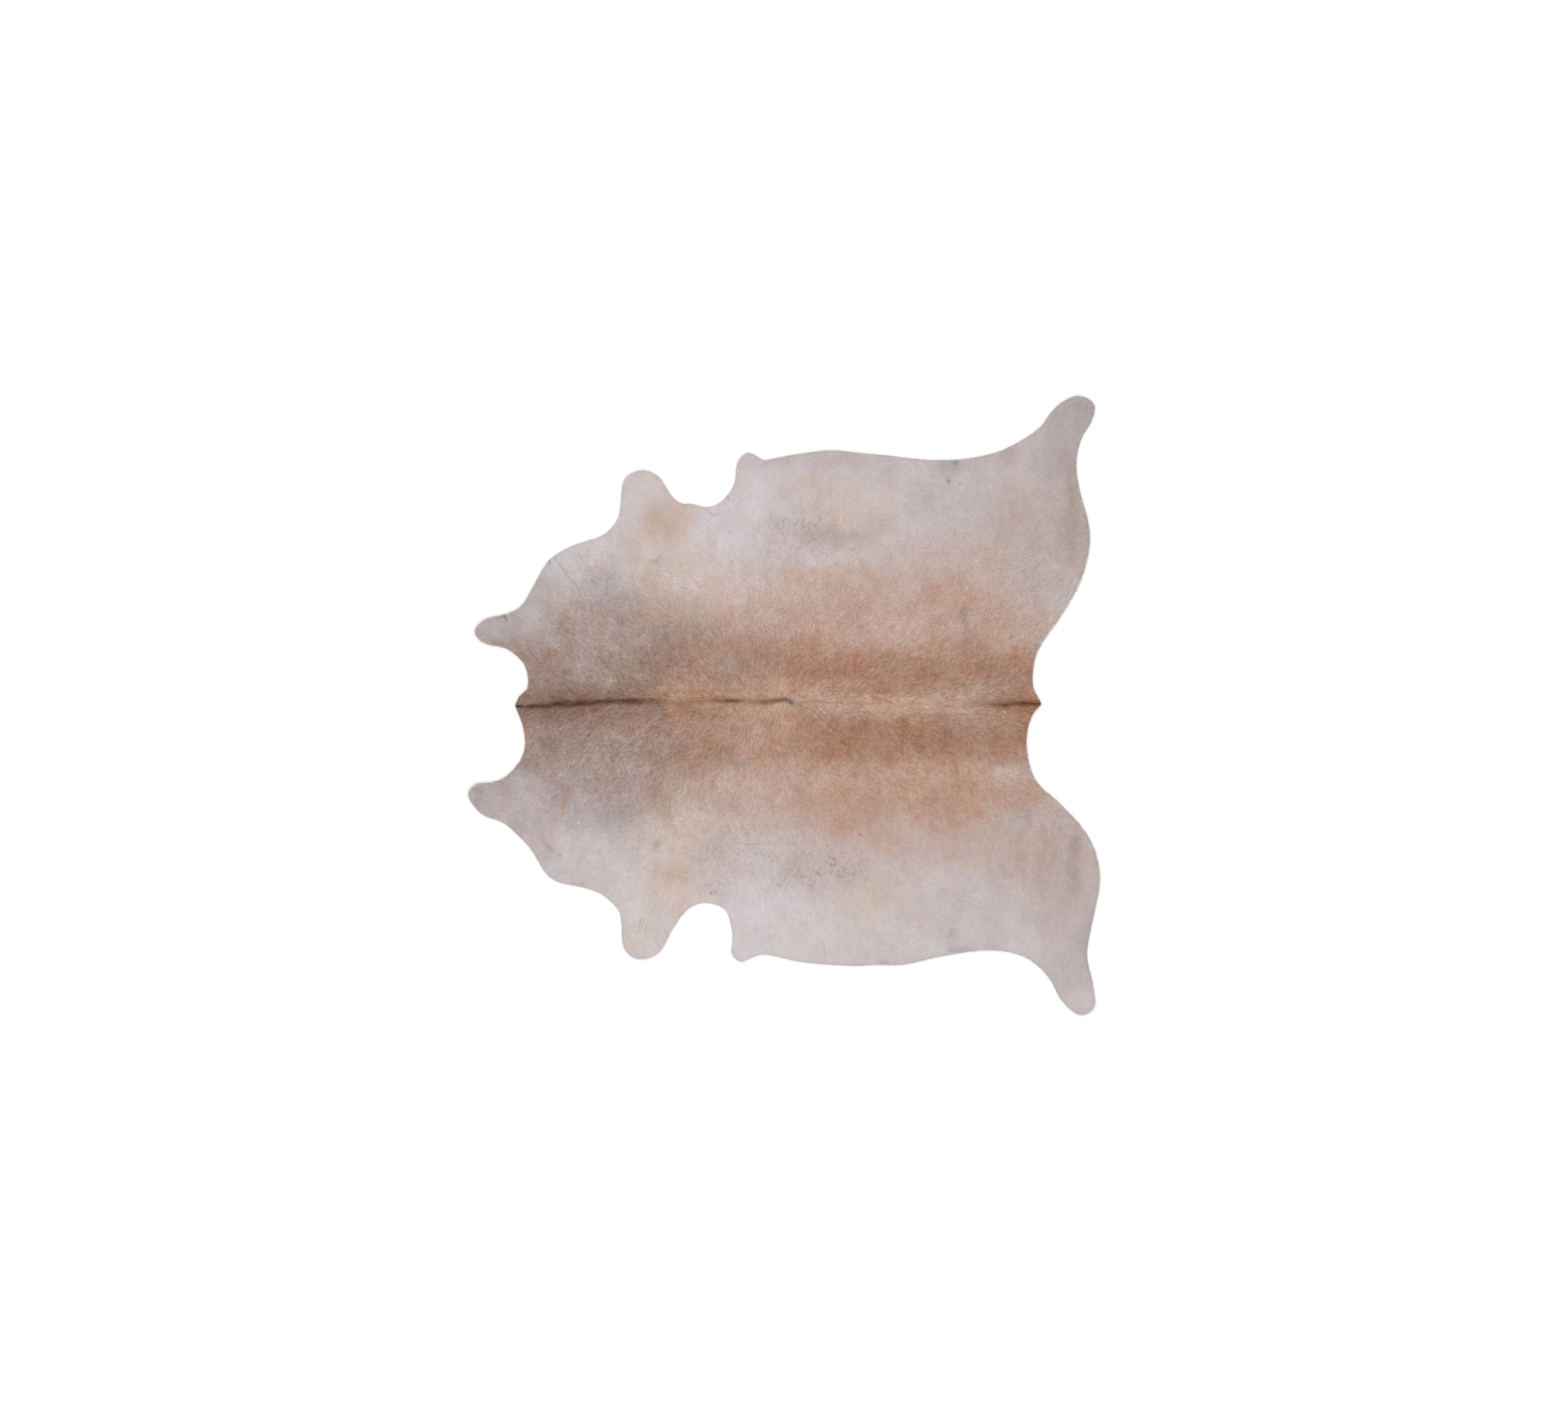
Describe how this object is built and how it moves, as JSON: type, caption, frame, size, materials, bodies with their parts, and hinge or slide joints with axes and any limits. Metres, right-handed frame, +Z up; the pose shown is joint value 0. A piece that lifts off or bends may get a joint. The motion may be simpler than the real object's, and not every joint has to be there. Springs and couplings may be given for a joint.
{
  "type": "cowhide rug",
  "caption": "Whole hair-on cowhide lying flat, a thin one-piece sheet with legs, cheek flaps and tail stub, tan along the back and pale grey at the edges.",
  "frame": {"origin": "on the floor, under the middle of the hide's outline", "axes": "+X along the spine from neck to tail, +Y out to the animal's right side, +Z up through the haired face"},
  "size_m": [2.158, 2.116, 0.0116],
  "materials": {
    "haircoat": "short lying hair, tan to pale grey, satin"
  },
  "bodies": {
    "root": {"hide": "haircoat"}
  },
  "joints": []
}
